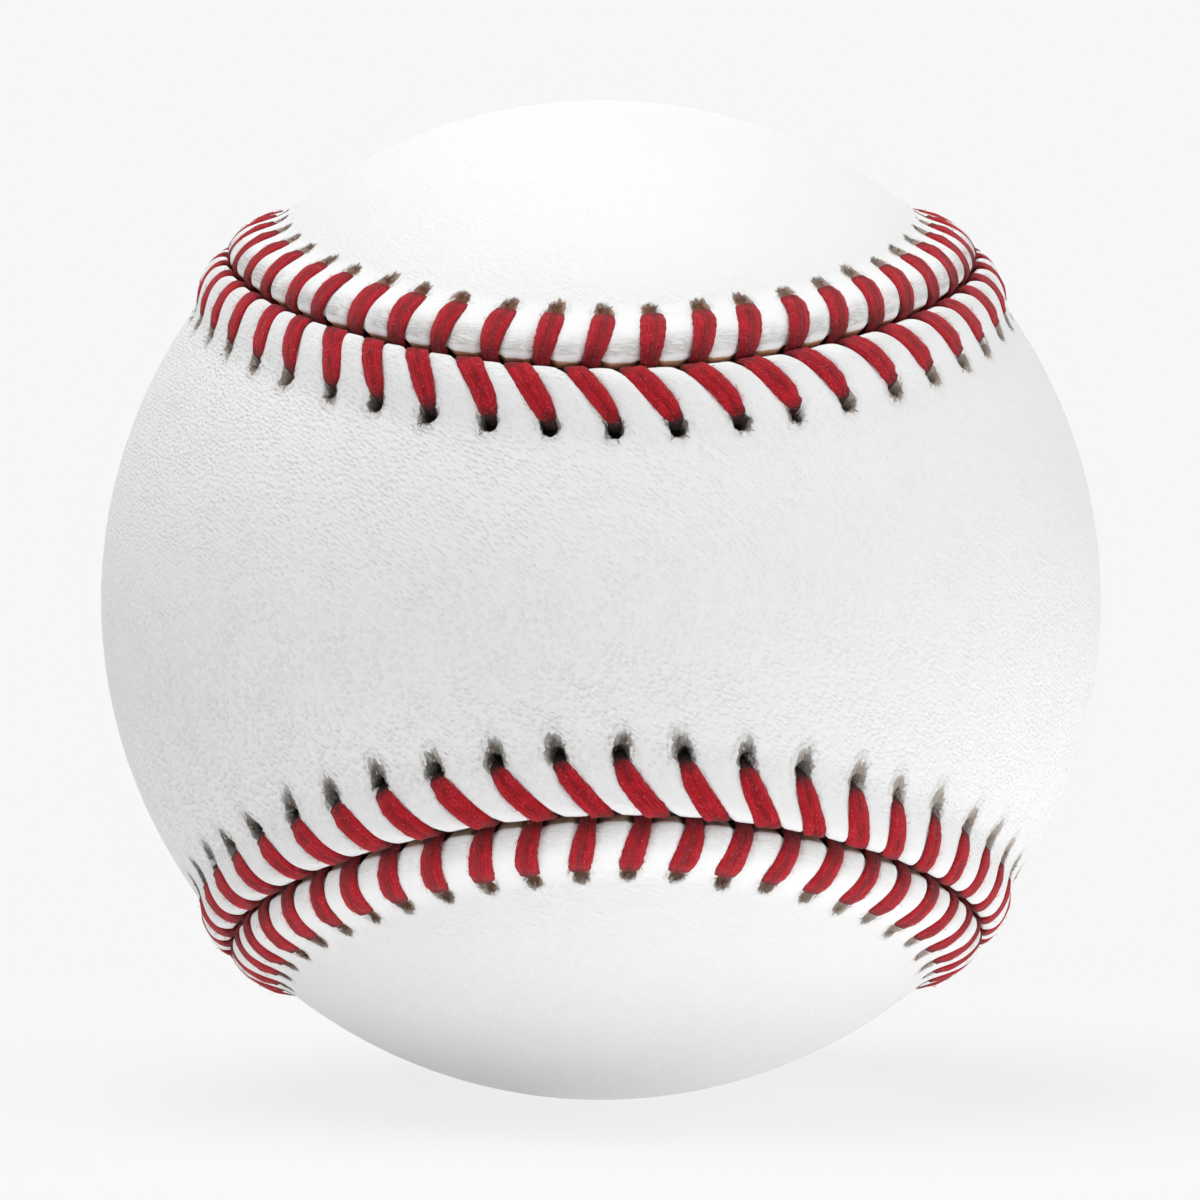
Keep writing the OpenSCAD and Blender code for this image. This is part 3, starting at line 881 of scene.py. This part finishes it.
pale = noise(place_on_piece(tree), 800.0)
join(mix_colours(pale, (0.50, 0.015, 0.03, 1), (0.75, 0.16, 0.16, 1)), shader.inputs["Base Color"])
close_tree(hairs, cotton_fuzz)
for name, seed in (("first_needle", 12), ("second_needle", 13)):
    fuzz = bpy.data.objects.new(name + "_fuzz", bpy.data.objects[name + "_thread"].data.copy())
    bpy.context.scene.collection.objects.link(fuzz)
    grow(fuzz, fuzz_tree, Hairs_per_area=4.5e6, Shortest=0.1 * MM, Longest=0.4 * MM, Seed=seed)
    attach(fuzz, "root")


# Torn leather: the needle tears the hide as the thread is pulled tight, and
# leaves small horns of it standing round the far side of every hole.
horn_tree, given = geometry_tree("stand_up_the_horns", Width=0.0, Length=0.0)
inputs = {"Vertices": 4, "Radius Top": 0.0, "Radius Bottom": given["Width"], "Depth": given["Length"]}
horn = add(horn_tree, "GeometryNodeMeshCone", inputs, fill_type="TRIANGLE_FAN")
points = add(horn_tree, "GeometryNodeMeshToPoints", {"Mesh": given["Geometry"]})
inputs = {"Vector": read(horn_tree, "facing", "FLOAT_VECTOR")}
facing = add(horn_tree, "FunctionNodeAlignRotationToVector", inputs, axis="Z")
horns = plant(out(points), out(horn, "Mesh"), out(facing), read(horn_tree, "size"))
torn_hide, tree, shader = new_material("torn_hide", Roughness=0.85)
tone = attribute(tree, "tone")
fibre = noise(place_on_piece(tree), 4000.0, 3.0)
hide_colour = mix_colours(tone, (0.13, 0.085, 0.06, 1), (0.72, 0.64, 0.57, 1))
join(mix_colours(fibre * 0.5, hide_colour, (0.30, 0.22, 0.17, 1)), shader.inputs["Base Color"])
join(bump(fibre, 0.05 * MM), shader.inputs["Normal"])
close_tree(horns, torn_hide)

ring_width = 0.55 * MM
ring_length = 0.5 * MM
root_depth = 0.02 * MM


def horn_roots(name, side, horns_per_hole, past_middle, darkest, palest):
    """Points round the far side of each hole, with the direction, size and tone of each one's horn."""
    stitch = np.repeat(np.arange(stitch_count), horns_per_hole)
    count = len(stitch)
    bearing = np.tile(np.linspace(-0.8, 0.8, horns_per_hole), stitch_count)
    bearing = bearing + 0.3 * chance.standard_normal(count)
    reach = 0.9 + 0.12 * chance.standard_normal(count)
    along = hole_along(side, stitch) + ring_width * np.sin(bearing) * reach
    across = hole_reach + past_middle + ring_length * np.cos(bearing) * reach
    outward, forward, sideways = seam_frame(side, along)
    facing = forward * np.sin(bearing)[:, None] + sideways * np.cos(bearing)[:, None]
    facing = unit(facing + outward * (0.05 + 0.25 * chance.random(count))[:, None])
    roots = beside_seam(side, along, across, np.full(count, -root_depth))
    return new_piece(name, roots, [], [], facing=facing, size=0.5 + 0.8 * chance.random(count),
                     tone=darkest + (palest - darkest) * chance.random(count))


for name, side, *horn_sizes in (("front_torn_leather", front_side, 2, 0.35 * MM, 0.3, 0.7),
                                ("back_torn_leather", back_side, 3, 0.25 * MM, 0.1, 0.5)):
    horns = grow(horn_roots(name, side, *horn_sizes), horn_tree, Width=0.09 * MM, Length=0.3 * MM)
    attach(horns, "root")


# Studio: a pale table under the ball, which glows to light the ball from below,
# more at its right, a plain pale surround, and soft lamps from above and high at the right.
background_colour = (0.93, 0.93, 0.93, 1)
floor_size = 6.0
shadow_reach = 3 * ball_radius
shadow_share = 0.16


def seen_by_camera(tree, seen, lit):
    """One shader for what the camera, a mirror or glass sees, and another for what lights the ball."""
    path = add(tree, "ShaderNodeLightPath")
    camera_rays, glossy_rays, clear_rays = (out(path, "Is " + kind + " Ray")
                                            for kind in ("Camera", "Glossy", "Transmission"))
    seen_rays = limit(camera_rays + glossy_rays + clear_rays)
    return add(tree, "ShaderNodeMixShader", {0: seen_rays, 1: lit, 2: seen})


world = bpy.data.worlds.new("plain_studio")
bpy.context.scene.world = world
world.use_nodes = True
tree = world.node_tree
tree.nodes.clear()
pale = add(tree, "ShaderNodeBackground", {"Color": background_colour, "Strength": 1.0})
ambient = add(tree, "ShaderNodeBackground", {"Color": (1, 1, 1, 1), "Strength": 0.04})
surround = seen_by_camera(tree, out(pale), out(ambient))
join(out(surround), add(tree, "ShaderNodeOutputWorld").inputs["Surface"])

reach = floor_size / 2
corners = [(x * reach, y * reach, -ball_radius) for x, y in ((-1, -1), (1, -1), (1, 1), (-1, 1))]
floor_mesh = bpy.data.meshes.new("studio_floor")
floor_mesh.from_pydata(corners, [], [(0, 1, 2, 3)])
floor = bpy.data.objects.new("studio_floor", floor_mesh)
bpy.context.scene.collection.objects.link(floor)
floor_paint, tree, shader = new_material("pale_floor", Base_Color=(0.9, 0.9, 0.9, 1), Roughness=0.9)
glow = add(tree, "ShaderNodeEmission", {"Color": background_colour, "Strength": 1.0})
place = place_on_piece(tree)
from_ball = vector_math("LENGTH", place, (0, 0, 0))
near_ball = ease(1.6 - from_ball / shadow_reach) * shadow_share
shade = add(tree, "ShaderNodeMixShader", {0: near_ball, 1: out(glow), 2: out(shader)})
# The table's glow reaches only the rays that light the ball, and is strongest at its right. The camera
# sees the plain pale table.
rightward = out(add(tree, "ShaderNodeSeparateXYZ", {"Vector": place})) / (4 * ball_radius)
table_strength = ease(rightward + 0.3) * (1.0 - ease(rightward - 0.8) * 0.6) * 0.70 + 0.16
table_light = add(tree, "ShaderNodeEmission", {"Color": (1, 1, 1, 1), "Strength": table_strength})
lit_table = add(tree, "ShaderNodeAddShader", {0: out(table_light), 1: out(shader)})
surface = seen_by_camera(tree, out(shade), out(lit_table))
join(out(surface), tree.nodes["Material Output"].inputs["Surface"])
floor_mesh.materials.append(floor_paint)


def softbox(name, right, up, nearer, size, watts):
    """A square soft lamp that faces the ball from a direction in the camera's terms."""
    data = bpy.data.lights.new(name, "AREA")
    data.size = size
    data.energy = watts
    lamp = bpy.data.objects.new(name, data)
    bpy.context.scene.collection.objects.link(lamp)
    lamp.location = seen_from_front(right, up, nearer)
    lamp.rotation_mode = "QUATERNION"
    lamp.rotation_quaternion = lamp.location.to_track_quat("Z", "Y")
    lamp.visible_camera = False


softbox("top_softbox", -0.3, 1.3, 0.2, 1.2, 19.8)
softbox("upper_front_softbox", 0.0, 1.0, 0.9, 0.9, 1.5)
softbox("upper_right_softbox", 0.9, 0.9, 0.2, 0.9, 3.8)

view = bpy.context.scene.view_settings
view.view_transform = "Standard"
